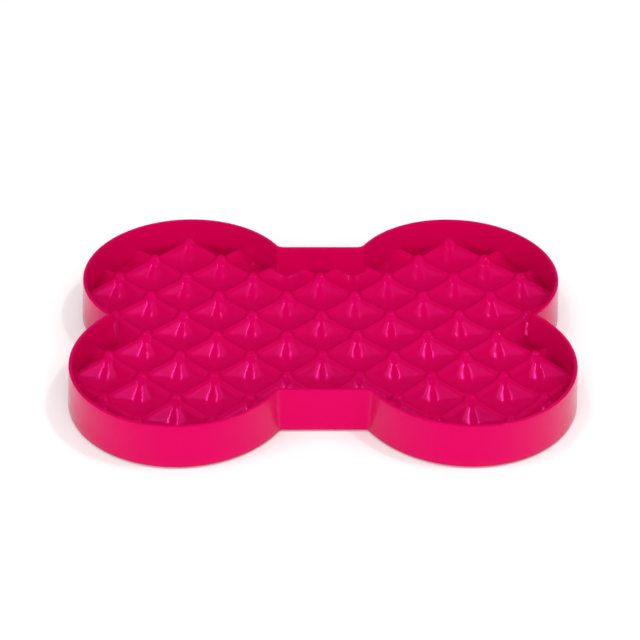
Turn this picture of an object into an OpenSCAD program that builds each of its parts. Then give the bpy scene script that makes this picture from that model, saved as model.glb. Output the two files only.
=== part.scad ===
// Bone-shaped lick mat: one moulded tray whose floor is a net of ridges with a blunt peak at
// every crossing and a round bowl in every mesh, standing on four press-in rubber feet.
// Origin: on the table, at the middle of the outline. +X runs along the bone, +Y to its back.

/* [Outline] */
// Length of the tray over the foot of its wall
tray_len = 290; // [270:1:330]
// Width of the tray over the foot of its wall
tray_w = 216.4; // [200:0.1:250]
// Radius of each round lobe at the foot of the wall
lobe_r = 64.5; // [58:0.5:70]
// Width across the two straight neck walls, at their foot
neck_w = 151.1; // [130:0.1:165]
// Radius of the soft hollow where a neck wall runs into a lobe, outside
corner_r = 3; // [1:0.25:6]

/* [Wall] */
// Height of the wall from its foot to its rim
wall_h = 26.3; // [20:0.1:40]
// Thickness of the wall at the rim
rim_t = 2; // [1.4:0.1:3]
// How far the outer face leans out from rim to foot
outer_flare = 1.9; // [0.5:0.1:4]
// How far the inner face leans in from rim to foot
inner_flare = 1.2; // [0.3:0.1:3]
// Size of the eased edge on both sides of the rim
rim_ease = 0.4; // [0.2:0.05:0.6]

/* [Floor] */
// Distance from one row of peaks to the next, along both diagonals
peak_pitch = 29.15; // [24:0.05:36]
// Height of a peak above the bottom of a bowl
peak_h = 11.9; // [8:0.1:15]
// Height of the ridges between the peaks above the bottom of a bowl
ridge_h = 9.5; // [6:0.1:11]
// Radius of the blunt tip of a peak
tip_r = 2.4; // [1:0.1:3.2]
// Steepness of a peak above its ridges
peak_slope = 46; // [44:1:60]
// Radius of the crest of a ridge
crest_r = 1.7; // [0.8:0.1:2.5]
// Radius of the round bottom of a bowl
bowl_r = 8.5; // [4:0.25:9.5]
// Thickness of the floor, which is the same in the bowls, ridges and peaks
floor_t = 1.8; // [1.2:0.1:2.6]
// Radius at the top of the hollows under the ridges and peaks
hollow_top_r = 0.8; // [0.4:0.1:2]
// Height of the underside of the bowls above the foot of the wall
floor_lift = 0.2; // [0.1:0.1:2]

/* [Feet] */
// Height of the foot of the wall above the table
foot_proud = 1; // [0.5:0.1:3]
// Diameter of the round pad of a foot
pad_d = 16; // [10:0.5:18]
// Thickness of the pad
pad_t = 2.4; // [1.6:0.1:3.5]
// Radius of the rounded edge of the pad
pad_edge_r = 0.8; // [0.3:0.1:1.2]
// Diameter of the stem that holds a foot in its boss
stem_d = 6; // [4:0.25:8]
// Length of the stem above the pad
stem_len = 5.6; // [3:0.1:6]
// Gap between the stem and the bore, on each side
stem_clearance = 0.1; // [0.05:0.05:0.3]
// Depth of the bore past the end of the stem
bore_spare = 0.8; // [0.4:0.1:1]
// Wall of the boss round the bore
boss_wall = 1.8; // [1.2:0.1:3]

/* [Hidden] */
$fn = 96;
// One overrun for every cut
over = 1;

lobe_x = tray_len / 2 - lobe_r;
lobe_y = tray_w / 2 - lobe_r;
foot_z = foot_proud;
rim_z = foot_z + wall_h;

// Heights of the floor
bowl_z = foot_z + floor_lift + floor_t;
crest_z = bowl_z + ridge_h;
tip_z = bowl_z + peak_h;
// Peaks stand on a square lattice turned by 45 degrees, so this is half the distance between
// two tips along X or Y
half_step = peak_pitch / sqrt(2);
half_row = peak_pitch / 2;
// How far the outline reaches along a diagonal, to either side
reach = (lobe_x + lobe_y) / sqrt(2) + lobe_r;
// An arc crosses a flank at this small angle, so that the joint between them is a clean edge
arc_angle = 5;
// Slope of a flank that runs from the arc of a crest to the arc of a bowl
round_sum = crest_r + bowl_r;
straight_rise = ridge_h - round_sum;
flank = asin(round_sum * cos(arc_angle) / norm([half_row, straight_rise]))
    + atan2(straight_rise, half_row);
// Distance from the centre of an arc to the flank, straight across it
tip_depth = tip_r * cos(arc_angle);
crest_depth = crest_r * cos(arc_angle);
bowl_depth = bowl_r * cos(arc_angle);
hollow_top_depth = hollow_top_r * cos(arc_angle);
// Heights at which the flanks of a ridge and of a peak would meet if they were sharp
crest_apex_z = crest_z - crest_r + crest_depth / cos(flank);
peak_apex_z = tip_z - tip_r + tip_depth / cos(peak_slope);

// Each wall face as [inset from the outer foot line, height], from bottom to top
lean = outer_flare / wall_h;
inner_lean = inner_flare / wall_h;
rim_inset = outer_flare + rim_t;
outer_face = [
    [0, foot_z],
    [outer_flare - lean * rim_ease, rim_z - rim_ease],
    [outer_flare + rim_ease, rim_z]
];
inner_face = [
    [rim_inset + inner_flare, foot_z],
    [rim_inset + inner_lean * rim_ease, rim_z - rim_ease],
    [rim_inset - rim_ease, rim_z],
    [rim_inset - rim_ease, rim_z + over]
];
// The hollows below the floor stop short of the wall, which leaves it a root
hollow_inset = rim_inset + inner_flare + floor_t / 2;
hollow_face = [[hollow_inset, foot_z - over], [hollow_inset, tip_z]];

// A foot sits under the peak nearest to the outer part of a lobe
foot_reach_share = 0.3;
foot_x = 2 * half_step * round(lobe_x / (2 * half_step));
foot_y_wish = lobe_y + foot_reach_share * lobe_r;
foot_y = half_step * (2 * round((foot_y_wish - half_step) / (2 * half_step)) + 1);
bore_d = stem_d + 2 * stem_clearance;
boss_d = bore_d + 2 * boss_wall;

// A solid with the bone outline, whose side follows the given face
module bone(face) {
    low = face[0][1];
    high = face[len(face) - 1][1];
    for (side = [-1, 1], end = [-1, 1])
        translate([side * lobe_x, end * lobe_y, 0])
            rotate_extrude()
                polygon(concat([[0, low]], [for (p = face) [lobe_r - p[0], p[1]]], [[0, high]]));
    right = [for (p = face) [neck_w / 2 - p[0], p[1]]];
    left = [for (i = [len(face) - 1 : -1 : 0]) [face[i][0] - neck_w / 2, face[i][1]]];
    rotate([90, 0, 90])
        linear_extrude(2 * lobe_x, center = true)
            polygon(concat(right, left));
}

// Fills the sharp corner between a neck wall and a lobe: a wedge less a cone that keeps to both
// leaning faces at every height
module corner_fill() {
    corner_depth = corner_r * cos(arc_angle);
    centre_y = neck_w / 2 + corner_depth;
    rise = centre_y - lobe_y;
    run = sqrt(pow(lobe_r + corner_depth, 2) - pow(rise, 2));
    centre = [lobe_x - run, centre_y];
    wedge = 2 * (corner_r + outer_flare);
    to_lobe = [run, -rise] / norm([run, rise]);
    wedge_h = wall_h - rim_ease;
    difference() {
        translate([0, 0, foot_z])
            linear_extrude(wedge_h)
                polygon([centre, centre - [0, wedge], centre + wedge * to_lobe]);
        translate([centre[0], centre[1], foot_z - over])
            cylinder(h = wedge_h + 2 * over, r1 = corner_r - lean * over,
                r2 = corner_r + lean * (wedge_h + over));
    }
}

// Section across the ridges, with an arc on each crest and in each bowl. Each arc is given as
// [height of its centre, its radius, distance from its centre to the flank].
module ridge_section(crest, bowl) {
    rows = ceil(reach / peak_pitch);
    base = foot_z - 2 * over;
    normal = [sin(flank), cos(flank)];
    crest_end = [0, crest[0]] + crest[2] * normal;
    bowl_end = [half_row, bowl[0]] - bowl[2] * normal;
    right_side = [[half_row, base], [half_row, bowl_end[1]], bowl_end, crest_end];
    left_side = [for (i = [len(right_side) - 1 : -1 : 0]) [-right_side[i][0], right_side[i][1]]];
    difference() {
        for (k = [-rows : rows - 1])
            translate([k * peak_pitch + half_row, 0]) {
                polygon(concat(right_side, left_side));
                translate([0, crest[0]]) circle(crest[1]);
            }
        for (k = [1 - rows : rows - 1])
            translate([k * peak_pitch, bowl[0]]) circle(bowl[1]);
    }
}

// A cone with a round tip, given as [height of its centre, its radius, distance from its centre
// to the flank]. It ends inside the ridges that cross there.
module peak(tip) {
    foot = bowl_z + ridge_h / 3;
    tip_end = [0, tip[0]] + tip[2] * [sin(peak_slope), cos(peak_slope)];
    foot_r = tip_end[0] + (tip_end[1] - foot) / tan(peak_slope);
    rotate_extrude() {
        polygon([[0, foot], [foot_r, foot], tip_end, [0, tip_end[1]]]);
        intersection() {
            translate([0, tip[0]]) circle(tip[1]);
            translate([0, tip[0]]) square(tip[1]);
        }
    }
}

// The places of the peaks whose tips lie inside the wall
module at_peaks() {
    columns = ceil(tray_len / 2 / half_step);
    rows = ceil(tray_w / 2 / half_step);
    for (i = [-columns : columns], j = [-rows : rows]) {
        place = [i * half_step, j * half_step];
        in_lobe = norm([abs(place[0]) - lobe_x, abs(place[1]) - lobe_y]) < lobe_r - rim_inset;
        in_neck = abs(place[0]) < lobe_x && abs(place[1]) < neck_w / 2 - rim_inset;
        if ((i + j) % 2 != 0 && (in_lobe || in_neck))
            translate(place)
                children();
    }
}

// Two crossing sets of ridges with a peak at every crossing, which reach past the outline
module net(crest, bowl, tip) {
    for (turn = [-45, 45])
        rotate([90, 0, turn])
            linear_extrude(2 * reach, center = true)
                ridge_section(crest, bowl);
    at_peaks()
        peak(tip);
}

// The floor as food meets it
module floor_top() {
    net([crest_z - crest_r, crest_r, crest_depth], [bowl_z + bowl_r, bowl_r, bowl_depth],
        [tip_z - tip_r, tip_r, tip_depth]);
}

// The same net moved in by the thickness of the floor, so that each ridge and peak is hollow
module hollows() {
    sunk = floor_t + hollow_top_depth;
    intersection() {
        net([crest_apex_z - sunk / cos(flank), hollow_top_r, hollow_top_depth],
            [bowl_z + bowl_r, bowl_r + floor_t, bowl_depth + floor_t],
            [peak_apex_z - sunk / cos(peak_slope), hollow_top_r, hollow_top_depth]);
        bone(hollow_face);
    }
}

module at_feet() {
    for (side = [-1, 1], end = [-1, 1])
        translate([side * foot_x, end * foot_y, 0])
            children();
}

module bone_tray() {
    color("#d6004f")
    difference() {
        union() {
            bone(outer_face);
            for (side = [0, 1], end = [0, 1])
                mirror([side, 0, 0])
                    mirror([0, end, 0])
                        corner_fill();
        }
        difference() {
            bone(inner_face);
            floor_top();
        }
        difference() {
            hollows();
            at_feet()
                translate([0, 0, pad_t])
                    cylinder(h = tip_z, d = boss_d);
        }
        at_feet()
            cylinder(h = pad_t + stem_len + bore_spare, d = bore_d);
    }
}

// A rubber button: a flat pad with a rounded edge, and a stem with a tapered end
module foot() {
    lead = stem_d / 8;
    color("#3a3a3d")
    rotate_extrude() {
        polygon([
            [0, 0],
            [pad_d / 2 - pad_edge_r, 0],
            [pad_d / 2 - pad_edge_r, pad_edge_r],
            [pad_d / 2, pad_edge_r],
            [pad_d / 2, pad_t],
            [stem_d / 2, pad_t],
            [stem_d / 2, pad_t + stem_len - lead],
            [stem_d / 2 - lead, pad_t + stem_len],
            [0, pad_t + stem_len]
        ]);
        intersection() {
            translate([pad_d / 2 - pad_edge_r, pad_edge_r])
                circle(pad_edge_r);
            square([pad_d / 2, pad_edge_r]);
        }
    }
}

module foot_front_left() {
    translate([-foot_x, -foot_y, 0]) foot();
}

module foot_front_right() {
    translate([foot_x, -foot_y, 0]) foot();
}

module foot_back_left() {
    translate([-foot_x, foot_y, 0]) foot();
}

module foot_back_right() {
    translate([foot_x, foot_y, 0]) foot();
}

bone_tray();
foot_front_left();
foot_front_right();
foot_back_left();
foot_back_right();
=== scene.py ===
"""A bone-shaped lick mat of moulded pink plastic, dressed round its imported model."""

import math

import bpy
import numpy as np
from mathutils import Matrix, Vector


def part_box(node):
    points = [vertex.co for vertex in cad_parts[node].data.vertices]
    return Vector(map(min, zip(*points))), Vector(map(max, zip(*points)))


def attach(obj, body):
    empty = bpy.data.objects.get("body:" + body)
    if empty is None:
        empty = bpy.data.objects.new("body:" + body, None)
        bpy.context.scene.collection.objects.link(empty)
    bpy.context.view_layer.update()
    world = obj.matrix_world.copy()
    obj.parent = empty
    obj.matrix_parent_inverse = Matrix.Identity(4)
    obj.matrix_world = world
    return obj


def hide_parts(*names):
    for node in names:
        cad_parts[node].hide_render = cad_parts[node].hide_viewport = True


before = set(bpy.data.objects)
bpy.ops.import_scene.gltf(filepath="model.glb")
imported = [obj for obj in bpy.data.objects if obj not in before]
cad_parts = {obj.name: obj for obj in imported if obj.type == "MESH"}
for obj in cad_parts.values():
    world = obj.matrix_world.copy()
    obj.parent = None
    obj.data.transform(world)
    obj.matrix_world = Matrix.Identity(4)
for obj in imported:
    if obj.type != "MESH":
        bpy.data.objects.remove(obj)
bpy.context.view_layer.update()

MM = 0.001

# Outline, from the frame and the tray's own sizes
tray_low, tray_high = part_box("bone_tray")
FOOT_Z = tray_low.z
RIM_Z = tray_high.z
WALL_H = RIM_Z - FOOT_Z
LOBE_R = 64.5 * MM
LOBE_X = (tray_high.x - tray_low.x) / 2 - LOBE_R
LOBE_Y = (tray_high.y - tray_low.y) / 2 - LOBE_R
NECK_HALF = 151.1 * MM / 2
CORNER_R = 3 * MM

# Wall
RIM_T = 2 * MM
OUTER_FLARE = 1.9 * MM
INNER_FLARE = 1.2 * MM
RIM_EDGE_R = 0.55 * MM
FOOT_EDGE_R = 0.4 * MM
RIM_INSET = OUTER_FLARE + RIM_T

# Floor: a net of ridges with a peak at every crossing and a round bowl in every mesh
PITCH = 29.15 * MM
HALF_MESH = PITCH / 2
TIP_Z = 15.2 * MM
CREST_Z = 12.5 * MM
BOWL_Z = 5.0 * MM
FLANK = math.radians(47)
FLANK_HOLLOW = 0.1
PEAK_SLOPE = math.radians(60)
TIP_R = 4.3 * MM
CREST_R = 3.0 * MM
ROUND_R = 8.3 * MM
PEAK_BLEND = 0.7 * MM
FLOOR_T = 1.8 * MM
HOLLOW_TOP_R = 0.8 * MM
HOLLOW_INSET = RIM_INSET + INNER_FLARE + FLOOR_T / 2

# Bosses that hold the stems of the feet, under four of the peaks
BOSS_R = 4.9 * MM
BORE_R = 3.1 * MM
BOSS_FOOT_Z = 2.4 * MM
BOSS_EASE_UP = 0.3 * MM
BOSS_EASE_IN = 0.147 * MM
BORE_TOP_Z = 8.8 * MM
FOOT_X = 4 * PITCH / math.sqrt(2)
FOOT_Y = 3 * PITCH / math.sqrt(2)

# Cells of the grid between two ridges, and the share by which they crowd to a crest
TOP_CELLS = 26
UNDER_CELLS = 16
CROWDING_SHARE = 0.5

# Rings of points up a face of the wall and round its edges, and points round a boss
FACE_LEVELS = 6
RIM_ARC_LEVELS = 5
FOOT_ARC_LEVELS = 4
INNER_LEVELS = FACE_LEVELS + RIM_ARC_LEVELS
BOSS_SIDES = 48

# Rounds that settle the foot of the leaning inner face on the floor
SETTLE_ROUNDS = 4

# Length over which the columns of the wall gather at a neck corner
CORNER_GATHER = 5 * MM


def rounded(away, radius, slope):
    """Drop below the point where two slopes would meet, at a distance from it: an arc of this
    radius that touches both slopes, and the straight slope beyond the arc."""
    arc = radius / math.cos(slope) - np.sqrt(np.maximum(radius ** 2 - away ** 2, 0))
    return np.where(away < radius * math.sin(slope), arc, away * math.tan(slope))


def mesh_place(x, y):
    """Distances from the middle of the nearest mesh, along the two diagonals, larger first."""
    root = math.sqrt(2)
    one, other = (np.abs(d - PITCH * np.round(d / PITCH)) for d in ((x + y) / root, (y - x) / root))
    return np.maximum(one, other), np.minimum(one, other)


def way_up(far, near, round_r):
    """Share of the way from the round bowl up to the square of ridges round it. Each level
    between them is a square of half width w with corners of radius r, where w grows from the
    bowl's radius to half a mesh and r falls from the bowl's radius to nothing."""
    flat = (far - round_r) / (HALF_MESH - round_r)
    half = HALF_MESH * (far + near) - round_r ** 2
    rest = far ** 2 + near ** 2 - round_r ** 2
    root = np.sqrt(np.maximum(half ** 2 - (2 * HALF_MESH ** 2 - round_r ** 2) * rest, 0))
    corner = rest / np.maximum(half + root, MM ** 2)
    return np.where(near > HALF_MESH * flat, corner, flat)


def mesh_height(far, near, crest_r, apex_z, round_r, bowl_z):
    """Height of a square-to-round mesh: flanks that fall from rounded crests and slacken with
    the square of the distance, and in the middle a dish whose height grows with the square of
    the distance from its centre."""
    run = HALF_MESH - round_r
    away = (1 - way_up(far, near, round_r)) * run
    flank = apex_z - rounded(away, crest_r, FLANK) + FLANK_HOLLOW * away ** 2 / run
    depth = apex_z - run * (math.tan(FLANK) - FLANK_HOLLOW) - bowl_z
    share = np.hypot(far, near) / round_r
    return np.where(share < 1, bowl_z + depth * share ** 2, flank)


def floor_height(x, y, inward, crest_r, tip_r):
    """Height of the floor moved in by a thickness: the meshes, joined by a soft hollow to a
    blunt cone at every crossing of the ridges."""
    far, near = mesh_place(x, y)
    apex_z = CREST_Z + CREST_R / math.cos(FLANK) - CREST_R - inward / math.cos(FLANK)
    round_r = ROUND_R + inward * math.sin(FLANK)
    mesh = mesh_height(far, near, crest_r, apex_z, round_r, BOWL_Z - inward)
    top_z = TIP_Z + TIP_R / math.cos(PEAK_SLOPE) - TIP_R - inward / math.cos(PEAK_SLOPE)
    peak = top_z - rounded(np.hypot(HALF_MESH - far, HALF_MESH - near), tip_r, PEAK_SLOPE)
    overlap = np.maximum(PEAK_BLEND - np.abs(mesh - peak), 0)
    return np.maximum(mesh, peak) + overlap ** 2 / (4 * PEAK_BLEND)


def top_height(x, y):
    """Height of the floor that food meets."""
    return floor_height(x, y, 0.0, CREST_R, TIP_R)


def under_height(x, y):
    """Height of the underside, which keeps the floor at one thickness."""
    return floor_height(x, y, FLOOR_T, HOLLOW_TOP_R, HOLLOW_TOP_R)


def corners(inset):
    """For the outline moved in by inset: half the neck, the lobe radius, the X of the corner
    between neck and lobe, and the lobe's angles at that corner and at the cusp."""
    half_neck = NECK_HALF - inset
    radius = LOBE_R - inset
    corner_x = LOBE_X - np.sqrt(radius ** 2 - (half_neck - LOBE_Y) ** 2)
    start = np.arctan2(half_neck - LOBE_Y, corner_x - LOBE_X)
    end = np.arctan2(-LOBE_Y, np.sqrt(radius ** 2 - LOBE_Y ** 2))
    return half_neck, radius, corner_x, start, end


def outline_point(on_lobe, share, inset):
    """Point of one quarter of the outline: a share of the way along the neck wall, or round
    the lobe from the neck to the cusp."""
    half_neck, radius, corner_x, start, end = corners(inset)
    angle = start + share * (end - start)
    x = np.where(on_lobe, LOBE_X + radius * np.cos(angle), share * corner_x)
    y = np.where(on_lobe, LOBE_Y + radius * np.sin(angle), half_neck)
    return x, y


def crowd_to_corner(on_lobe, share, inset):
    """Shares that gather near the corner between neck and lobe, so that its hollow is smooth:
    a distance d from the corner becomes d squared over d plus the gather length."""
    _, radius, corner_x, start, end = corners(inset)
    span = np.where(on_lobe, radius * (start - end), corner_x)
    away = np.where(on_lobe, share, 1 - share) * span
    full = span ** 2 / (span + CORNER_GATHER)
    near = away ** 2 / (away + CORNER_GATHER) / full
    return np.where(on_lobe, near, 1 - near)


def soften_corner(x, y, inset):
    """Moves points of the outer face within two radii of a fixed centre, outside the neck
    corner, onto an arc round that centre whose radius grows with the inset."""
    centre_y = NECK_HALF + CORNER_R
    rise = centre_y - LOBE_Y
    run = math.sqrt((LOBE_R + CORNER_R) ** 2 - rise ** 2)
    centre_x = LOBE_X - run
    dx, dy = x - centre_x, y - centre_y
    inside = (dx > 0) & (-rise * dx - run * dy > 0)
    reach = np.hypot(dx, dy)
    radius = CORNER_R + inset
    at_corner = inside & (reach > radius) & (reach < 2 * radius)
    scale = np.where(at_corner, radius / reach, 1)
    return centre_x + dx * scale, centre_y + dy * scale


def grid_lines(cells):
    """Distances of grid lines along a diagonal, which cross every crest and crowd near it."""
    steps = math.ceil(math.hypot(LOBE_X + LOBE_R, LOBE_Y + LOBE_R) / PITCH)
    share = np.arange(-steps * cells, steps * cells + 1) / cells
    wave = CROWDING_SHARE * np.sin(2 * np.pi * share) / (2 * np.pi)
    return PITCH * (share + wave)


def floor_grid(inset, cells):
    """Grid inside the outline moved in by inset, with the vertices nearest to the outline moved
    onto it. Returns x, y, quads, triangles, and the rim vertices in ring order with their
    place on the outline: on_lobe, share, the signs of x and y, and the key that orders them."""
    half_neck, radius, corner_x, start, end = corners(inset)
    one, other = np.meshgrid(grid_lines(cells), grid_lines(cells))
    x, y = (one - other) / math.sqrt(2), (one + other) / math.sqrt(2)
    ax, ay = np.abs(x), np.abs(y)
    lobe = radius - np.hypot(ax - LOBE_X, ay - LOBE_Y)
    neck = np.minimum(half_neck - ay, LOBE_X - ax)
    inside_by = np.maximum(lobe, neck)
    inside = inside_by > 0
    on = np.zeros_like(inside)
    for here, there in (
        ((slice(None), slice(None, -1)), (slice(None), slice(1, None))),
        ((slice(None, -1), slice(None)), (slice(1, None), slice(None))),
    ):
        a, b = inside_by[here], inside_by[there]
        crossed = inside[here] != inside[there]
        nearer = np.abs(a) < np.abs(b)
        on[here] |= crossed & nearer
        on[there] |= crossed & ~nearer
    # Nearest point of the outline, on the lobe or on the neck wall
    angle = np.arctan2(ay - LOBE_Y, ax - LOBE_X)
    lobe_share = np.clip((angle - start) / (end - start), 0, 1)
    neck_share = np.clip(ax / corner_x, 0, 1)
    lobe_x, lobe_y = outline_point(True, lobe_share, inset)
    neck_x, neck_y = outline_point(False, neck_share, inset)
    lobe_off = np.hypot(lobe_x - ax, lobe_y - ay)
    neck_off = np.hypot(neck_x - ax, neck_y - ay)
    on_lobe = lobe_off < neck_off
    share = np.where(on_lobe, lobe_share, neck_share)
    # The vertex nearest to each corner of the outline takes its place exactly
    cusp_x = LOBE_X + radius * math.cos(end)
    for corner, lobe_there, share_there in (
        ((corner_x, half_neck), False, 1.0),
        ((cusp_x, 0.0), True, 1.0),
    ):
        for side in (-1, 1):
            for end_side in (-1, 1):
                off = np.hypot(x - side * corner[0], y - end_side * corner[1])
                off = np.where(on, off, np.inf)
                at = np.unravel_index(np.argmin(off), off.shape)
                on_lobe[at], share[at] = lobe_there, share_there
    # Cells that lie inside keep four corners, and those cut at one corner keep three
    index = np.arange(x.size).reshape(x.shape)
    corner_cells = [
        (slice(None, -1), slice(None, -1)),
        (slice(None, -1), slice(1, None)),
        (slice(1, None), slice(1, None)),
        (slice(1, None), slice(None, -1)),
    ]
    cell = np.stack([index[c].ravel() for c in corner_cells], 1)
    is_on = on.ravel()[cell]
    is_in = inside.ravel()[cell] & ~is_on
    is_out = ~is_on & ~is_in
    quads = cell[(is_out.sum(1) == 0) & (is_in.sum(1) > 0)]
    cut = (is_out.sum(1) == 1) & (is_in.sum(1) > 0)
    turn = (np.argmax(is_out[cut], 1)[:, None] + np.arange(1, 4)) % 4
    triangles = np.take_along_axis(cell[cut], turn, 1)
    used = np.unique(np.concatenate([quads.ravel(), triangles.ravel()]))
    number = np.full(x.size, -1)
    number[used] = np.arange(used.size)
    quads, triangles = number[quads], number[triangles]
    x, y, on, on_lobe, share = (v.ravel()[used] for v in (x, y, on, on_lobe, share))
    ring = np.nonzero(on)[0]
    sign_x = np.where(x[ring] < 0, -1, 1)
    sign_y = np.where(y[ring] < 0, -1, 1)
    # Every quarter counts one along the neck wall and one round the lobe, eight in all
    part = on_lobe[ring] + share[ring]
    key = np.where(
        sign_x < 0,
        np.where(sign_y > 0, part, 4 - part),
        np.where(sign_y < 0, 4 + part, 8 - part),
    )
    order = np.argsort(key)
    ring = ring[order]
    place = (on_lobe[ring], share[ring], sign_x[order], sign_y[order], key[order])
    return x, y, quads, triangles, ring, place


def column_points(place, inset, z, outer=False):
    """Points on all columns of the wall at one level, given their inset and height. The outer
    face has its columns gathered and its hollow softened at the neck corners."""
    on_lobe, share, sign_x, sign_y, _ = place
    inset = np.broadcast_to(inset, share.shape)
    if outer:
        share = crowd_to_corner(on_lobe, share, inset)
    x, y = outline_point(on_lobe, share, inset)
    if outer:
        x, y = soften_corner(x, y, inset)
    return np.stack([x * sign_x, y * sign_y, np.broadcast_to(z, share.shape)], 1)


def inner_inset(z):
    """Inset of the inner face at a height."""
    return RIM_INSET + INNER_FLARE * (RIM_Z - z) / WALL_H


def outer_inset(z):
    """Inset of the outer face at a height."""
    return OUTER_FLARE * (z - FOOT_Z) / WALL_H


def inner_levels(place, floor_z):
    """Rings of points up the inner face from the floor's edge, and over the rim's inner edge."""
    bend = RIM_Z - RIM_EDGE_R
    for up in np.linspace(0, 1, FACE_LEVELS + 1)[1:]:
        height = floor_z + (bend - floor_z) * up
        yield column_points(place, inner_inset(height), height)
    for turn in np.linspace(0, math.pi / 2, RIM_ARC_LEVELS + 1)[1:]:
        inset = inner_inset(bend) - RIM_EDGE_R * (1 - math.cos(turn))
        yield column_points(place, inset, bend + RIM_EDGE_R * math.sin(turn))


def outer_levels(place):
    """Rings of points over the rim's outer edge, down the outer face and round its foot."""
    bend = RIM_Z - RIM_EDGE_R
    low = FOOT_Z + FOOT_EDGE_R
    for turn in np.linspace(math.pi / 2, 0, RIM_ARC_LEVELS + 1):
        inset = outer_inset(bend) + RIM_EDGE_R * (1 - math.cos(turn))
        yield column_points(place, inset, bend + RIM_EDGE_R * math.sin(turn), True)
    for down in np.linspace(0, 1, FACE_LEVELS + 1)[1:]:
        height = bend + (low - bend) * down
        yield column_points(place, outer_inset(height), height, True)
    for turn in np.linspace(0, math.pi / 2, FOOT_ARC_LEVELS + 1)[1:]:
        inset = outer_inset(low) + FOOT_EDGE_R * (1 - math.cos(turn))
        yield column_points(place, inset, low - FOOT_EDGE_R * math.sin(turn), True)


def edges(ring):
    """Pairs of neighbours round a closed ring of vertex numbers."""
    return np.stack([ring, np.roll(ring, -1)], 1)


def band(lower, upper):
    """Quads between two closed rings with as many vertex numbers each."""
    return np.concatenate([edges(upper), edges(lower)[:, ::-1]], 1)


def strip(keys_a, start_a, keys_b, start_b):
    """Triangles between two closed rings with different counts: each edge of one ring joins the
    vertex of the other that comes last before the edge's end."""
    count_a, count_b = len(keys_a), len(keys_b)
    a, b = np.arange(count_a), np.arange(count_b)
    next_a, next_b = (a + 1) % count_a, (b + 1) % count_b
    last_b = (np.searchsorted(keys_b, keys_a[next_a], side="left") - 1) % count_b
    last_a = (np.searchsorted(keys_a, keys_b[next_b], side="right") - 1) % count_a
    one = np.stack([start_a + a, start_b + last_b, start_a + next_a], 1)
    other = np.stack([start_b + b, start_b + next_b, start_a + last_a], 1)
    return np.concatenate([one, other])


def boss(centre_x, centre_y):
    """A round boss with a blind bore, centred below a peak: a profile turned about an upright
    axis. Its top follows the underside, halfway into the floor's thickness."""
    top_shares = np.array([0.0, 0.3, 0.6, 0.85, 1.0])
    low_out = [BOSS_R, BOSS_R - BOSS_EASE_IN, BORE_R, BORE_R, 0.0]
    low_z = [BOSS_FOOT_Z + BOSS_EASE_UP, BOSS_FOOT_Z, BOSS_FOOT_Z, BORE_TOP_Z, BORE_TOP_Z]
    out = np.concatenate([top_shares * BOSS_R, low_out])[:, None]
    turn = np.linspace(0, 2 * math.pi, BOSS_SIDES, endpoint=False)
    x, y = centre_x + out * np.cos(turn), centre_y + out * np.sin(turn)
    top_z = under_height(x, y)[: len(top_shares)] + FLOOR_T / 2
    z = np.concatenate([top_z, np.repeat(np.array(low_z)[:, None], BOSS_SIDES, 1)])
    points = np.stack([x, y, z], 2)
    # The first and last points of the profile lie on the axis, so each is a single pole
    rings = np.arange((len(out) - 2) * BOSS_SIDES).reshape(-1, BOSS_SIDES)
    poles = points[[0, -1], 0]
    top_pole, bore_pole = (np.full((BOSS_SIDES, 1), rings.size + i) for i in (0, 1))
    faces = [band(lower, upper) for lower, upper in zip(rings, rings[1:])]
    faces.append(np.concatenate([top_pole, edges(rings[0])], 1))
    faces.append(np.concatenate([bore_pole, edges(rings[-1])[:, ::-1]], 1))
    return np.concatenate([points[1:-1].reshape(-1, 3), poles]), faces


def build_tray():
    """The moulding: floor, wall and underside as one closed surface, and bosses that are closed
    surfaces of their own and reach into the floor. Returns points, faces and the pairs of
    vertices whose edges stay crisp."""
    # Floor and wall: the floor's own rim vertices are the lowest ring of the inner face
    x, y, quads, triangles, ring, place = floor_grid(inner_inset(BOWL_Z), TOP_CELLS)
    on_lobe, share, _, _, key = place
    z = top_height(x, y)
    for _ in range(SETTLE_ROUNDS):
        edge = column_points(place, inner_inset(z[ring]), z[ring])
        x[ring], y[ring] = edge[:, 0], edge[:, 1]
        z[ring] = top_height(x[ring], y[ring])
    levels = [*inner_levels(place, z[ring]), *outer_levels(place)]
    points = [np.stack([x, y, z], 1), *levels]
    total = len(x) + len(levels) * len(ring)
    column = np.vstack([ring, np.arange(len(x), total).reshape(-1, len(ring))])
    faces = [quads, triangles, *(band(lower, upper) for lower, upper in zip(column, column[1:]))]
    # Underside: a grid of its own that ends in a short upright face, joined to the wall's foot
    x, y, quads, triangles, hollow, hollow_place = floor_grid(HOLLOW_INSET, UNDER_CELLS)
    edge = column_points(hollow_place, HOLLOW_INSET, FOOT_Z)
    x[hollow], y[hollow] = edge[:, 0], edge[:, 1]
    points += [np.stack([x, y, under_height(x, y)], 1), edge]
    faces += [quads[:, ::-1] + total, triangles[:, ::-1] + total]
    hollow = hollow + total
    foot = total + len(x) + np.arange(len(hollow))
    faces.append(band(foot, hollow))
    faces.append(strip(key, column[-1, 0], hollow_place[-1], foot[0]))
    total = foot[-1] + 1
    for centre_x in (-FOOT_X, FOOT_X):
        for centre_y in (-FOOT_Y, FOOT_Y):
            boss_points, boss_faces = boss(centre_x, centre_y)
            points.append(boss_points)
            faces += [group + total for group in boss_faces]
            total += len(boss_points)
    # Crisp edges: the foot of the inner face, the mitre at each neck corner on the inner side,
    # the notch at each cusp, and the edges of the hollow
    mitre = column[: INNER_LEVELS + 1, ~on_lobe & (share == 1)]
    notch = column[:, on_lobe & (share == 1)]
    crisp = [edges(closed) for closed in (ring, hollow, foot)]
    crisp += [np.stack([lines[:-1].ravel(), lines[1:].ravel()], 1) for lines in (mitre, notch)]
    return np.concatenate(points), faces, np.concatenate(crisp)


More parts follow.
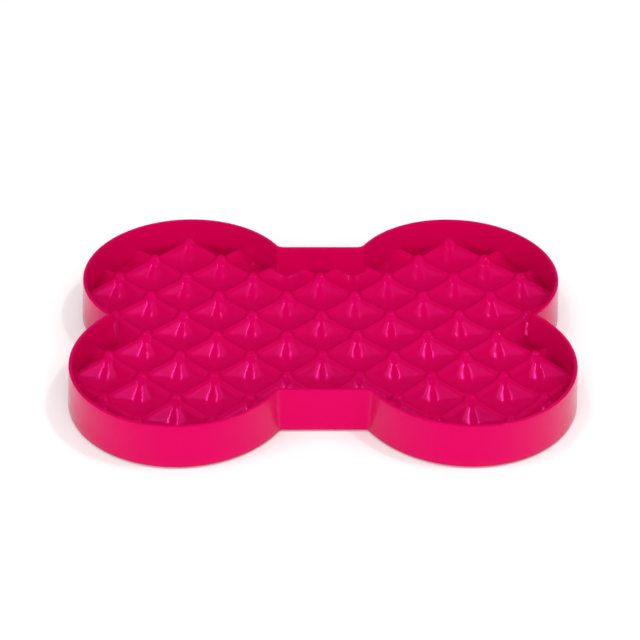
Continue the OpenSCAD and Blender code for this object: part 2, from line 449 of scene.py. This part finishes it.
def make_mesh(name, points, faces):
    """A smooth-shaded mesh from a point array and arrays of quads and triangles."""
    mesh = bpy.data.meshes.new(name)
    mesh.from_pydata(points.tolist(), [], [f for group in faces for f in group.tolist()])
    mesh.update()
    mesh.polygons.foreach_set("use_smooth", np.ones(len(mesh.polygons), bool))
    return mesh


def keep_crisp(mesh, pairs):
    """Keeps the edges between these pairs of vertices crisp under smooth shading."""
    ends = np.empty(len(mesh.edges) * 2, np.int32)
    mesh.edges.foreach_get("vertices", ends)
    size = len(mesh.vertices)
    key, wanted = (
        np.sort(p, 1).astype(np.int64) @ (size, 1) for p in (ends.reshape(-1, 2), pairs)
    )
    mesh.edges.foreach_set("use_edge_sharp", np.isin(key, wanted))


def add_piece(name, mesh, slot, material, *nodes):
    """Adds a mesh as a piece of the standing body, in the place of these nodes."""
    piece = bpy.data.objects.new(name, mesh)
    bpy.context.scene.collection.objects.link(piece)
    mesh.materials.append(material)
    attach(piece, "root")
    if nodes:
        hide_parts(*nodes)
    return piece


def linear(hex_colour):
    """Linear colour, with alpha, of an sRGB hex value."""
    parts = [int(hex_colour[i : i + 2], 16) / 255 for i in (1, 3, 5)]
    return [c / 12.92 if c <= 0.04045 else ((c + 0.055) / 1.055) ** 2.4 for c in parts] + [1]


def node(tree, kind, settings=None, links=None):
    """Adds a shader node, sets its inputs or attributes by name and links outputs to inputs."""
    made = tree.nodes.new(kind)
    for key, value in (settings or {}).items():
        if key in made.inputs:
            made.inputs[key].default_value = value
        else:
            setattr(made, key, value)
    for key, output in (links or {}).items():
        tree.links.new(output, made.inputs[key])
    return made


def new_material(name):
    """An empty node material and its tree."""
    material = bpy.data.materials.new(name)
    material.use_nodes = True
    material.node_tree.nodes.clear()
    return material, material.node_tree


def moulded_polypropylene():
    """Injection-moulded polypropylene in hot pink: satin gloss whose soft streaks keep the pink,
    a little light that enters and glows red in the bowls, and a faint waviness."""
    material, tree = new_material("moulded_polypropylene_pink")
    where = node(tree, "ShaderNodeTexCoord")
    # Waves of moulded plastic about 9 mm long, and the fine grain of the mould, 0.5 mm
    wave = node(
        tree,
        "ShaderNodeTexNoise",
        {"Scale": 1 / (9 * MM), "Detail": 2.0},
        {"Vector": where.outputs["Object"]},
    )
    grain = node(
        tree,
        "ShaderNodeTexNoise",
        {"Scale": 1 / (0.5 * MM), "Detail": 3.0},
        {"Vector": where.outputs["Object"]},
    )
    wave_bump = node(
        tree,
        "ShaderNodeBump",
        {"Strength": 0.08, "Distance": 0.15 * MM},
        {"Height": wave.outputs["Fac"]},
    )
    bump = node(
        tree,
        "ShaderNodeBump",
        {"Strength": 0.12, "Distance": 0.03 * MM},
        {"Height": grain.outputs["Fac"], "Normal": wave_bump.outputs["Normal"]},
    )
    roughness = node(
        tree,
        "ShaderNodeMapRange",
        {"To Min": 0.16, "To Max": 0.22},
        {"Value": wave.outputs["Fac"]},
    )
    shader = node(
        tree,
        "ShaderNodeBsdfPrincipled",
        {
            "Base Color": linear("#C2004D"),
            "IOR": 1.49,
            "Specular Tint": linear("#FF30BC"),
            "Subsurface Weight": 0.06,
            "Subsurface Radius": (1.0, 0.15, 0.35),
            "Subsurface Scale": 2.5 * MM,
        },
        {"Roughness": roughness.outputs["Result"], "Normal": bump.outputs["Normal"]},
    )
    node(tree, "ShaderNodeOutputMaterial", links={"Surface": shader.outputs["BSDF"]})
    return material


def moulded_rubber():
    """Moulded rubber: dark grey, matte, with a fine grain that breaks up what light it gives."""
    material, tree = new_material("moulded_rubber_dark_grey")
    where = node(tree, "ShaderNodeTexCoord")
    grain = node(
        tree,
        "ShaderNodeTexNoise",
        {"Scale": 1 / (0.4 * MM), "Detail": 4.0},
        {"Vector": where.outputs["Object"]},
    )
    bump = node(
        tree,
        "ShaderNodeBump",
        {"Strength": 0.4, "Distance": 0.05 * MM},
        {"Height": grain.outputs["Fac"]},
    )
    shade = node(
        tree,
        "ShaderNodeMix",
        {"data_type": "RGBA"},
        {"Factor": grain.outputs["Fac"]},
    )
    # A Mix node holds its two colours after those of its other types
    dark_colour, light_colour, mixed_colour = 6, 7, 2
    shade.inputs[dark_colour].default_value = linear("#2E2E31")
    shade.inputs[light_colour].default_value = linear("#3B3B3F")
    shader = node(
        tree,
        "ShaderNodeBsdfPrincipled",
        {"Roughness": 0.75, "IOR": 1.5},
        {"Base Color": shade.outputs[mixed_colour], "Normal": bump.outputs["Normal"]},
    )
    node(tree, "ShaderNodeOutputMaterial", links={"Surface": shader.outputs["BSDF"]})
    return material


def pale_floor():
    """A sweep of white paper: matte, so it holds only a soft shadow and a pink glow."""
    material, tree = new_material("white_paper_sweep")
    shader = node(
        tree,
        "ShaderNodeBsdfPrincipled",
        {"Base Color": linear("#F4F4F4"), "Roughness": 0.9, "Specular IOR Level": 0.0},
    )
    node(tree, "ShaderNodeOutputMaterial", links={"Surface": shader.outputs["BSDF"]})
    mesh = bpy.data.meshes.new("floor")
    reach = 3.0
    mesh.from_pydata(
        [(-reach, -reach, 0), (reach, -reach, 0), (reach, reach, 0), (-reach, reach, 0)],
        [],
        [(0, 1, 2, 3)],
    )
    mesh.materials.append(material)
    floor = bpy.data.objects.new("floor", mesh)
    bpy.context.scene.collection.objects.link(floor)


def camera():
    """The camera at the photograph's angle. Focus is its focal length in pixels of the frame."""
    frame_px = 640
    focus = 1789.8
    distance = 1085.5 * MM
    azimuth = math.radians(-1.282)
    elevation = math.radians(34.684)
    roll = math.radians(0.708)
    sensor_mm = 36
    nearest, farthest = 0.05, 20
    target = np.array([-0.555 * MM, 32.195 * MM, FOOT_Z])
    back = np.array(
        [
            math.sin(azimuth) * math.cos(elevation),
            -math.cos(azimuth) * math.cos(elevation),
            math.sin(elevation),
        ]
    )
    right = np.array([math.cos(azimuth), math.sin(azimuth), 0.0])
    up = np.cross(back, right)
    rolled_right = math.cos(roll) * right + math.sin(roll) * up
    rolled_up = math.cos(roll) * up - math.sin(roll) * right
    place = np.eye(4)
    place[:3, 0], place[:3, 1], place[:3, 2] = rolled_right, rolled_up, back
    place[:3, 3] = target + back * distance
    data = bpy.data.cameras.new("camera")
    data.sensor_width = sensor_mm
    data.lens = focus / frame_px * sensor_mm
    data.clip_start, data.clip_end = nearest, farthest
    seen = bpy.data.objects.new("camera", data)
    bpy.context.scene.collection.objects.link(seen)
    seen.matrix_world = Matrix(place.tolist())
    bpy.context.scene.camera = seen


def softbox(name, swing, tilt, distance, size, power):
    """A rectangular area light that faces the mat: swing is its angle up from the right-hand
    side and over to the left, tilt is how far it leans to the back, both in degrees. Its
    distance and size are in metres, with its length along the swing, and its power in watts."""
    data = bpy.data.lights.new(name, "AREA")
    data.shape = "RECTANGLE"
    data.size, data.size_y = size
    data.energy = power
    box = bpy.data.objects.new(name, data)
    bpy.context.scene.collection.objects.link(box)
    swing, tilt = math.radians(swing), math.radians(tilt)
    toward = Vector(
        (math.cos(swing) * math.cos(tilt), math.sin(tilt), math.sin(swing) * math.cos(tilt))
    )
    across = Vector((math.sin(swing), 0, -math.cos(swing)))
    up = toward.cross(across)
    box.matrix_world = Matrix((across, up, toward)).transposed().to_4x4()
    box.location = toward * distance


def studio_light():
    """White surroundings, small and wide soft boxes over each side, and two broad ones in front."""
    surroundings = 0.72
    world = bpy.data.worlds.new("studio")
    world.use_nodes = True
    background = world.node_tree.nodes["Background"]
    background.inputs["Color"].default_value = (1, 1, 1, 1)
    background.inputs["Strength"].default_value = surroundings
    # The gloss mirrors only the boxes and the paper, which keeps the pink deep
    world.cycles_visibility.glossy = False
    bpy.context.scene.world = world
    # Each core draws a bright streak down a peak, and the wide box a faint petal beside it
    softbox("right_core", swing=66, tilt=-1, distance=1.6, size=(0.1, 0.14), power=4.4)
    softbox("right_wide", swing=50, tilt=-2, distance=1.65, size=(0.6, 0.3), power=1.9)
    softbox("left_core", swing=105, tilt=-1, distance=1.6, size=(0.1, 0.16), power=2.0)
    softbox("left_wide", swing=126, tilt=-2, distance=1.65, size=(0.85, 0.3), power=1.8)
    # The low box lights the outer walls, and the higher one lifts the floor and inner walls
    softbox("front_low", swing=90, tilt=-76, distance=2.2, size=(2.4, 1.6), power=32)
    softbox("front_high", swing=90, tilt=-45, distance=2.2, size=(2.4, 1.6), power=8)
    bpy.context.scene.view_settings.view_transform = "Standard"


camera()
points, faces, crisp = build_tray()
tray_mesh = make_mesh("tray", points, faces)
keep_crisp(tray_mesh, crisp)
pink = moulded_polypropylene()
add_piece("tray", tray_mesh, "tray_plastic", pink, "bone_tray")

# The feet keep their shape from the frame, and are only dressed in rubber
rubber = moulded_rubber()
for name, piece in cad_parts.items():
    if name.startswith("foot_"):
        piece.data.materials.clear()
        piece.data.materials.append(rubber)

pale_floor()
studio_light()
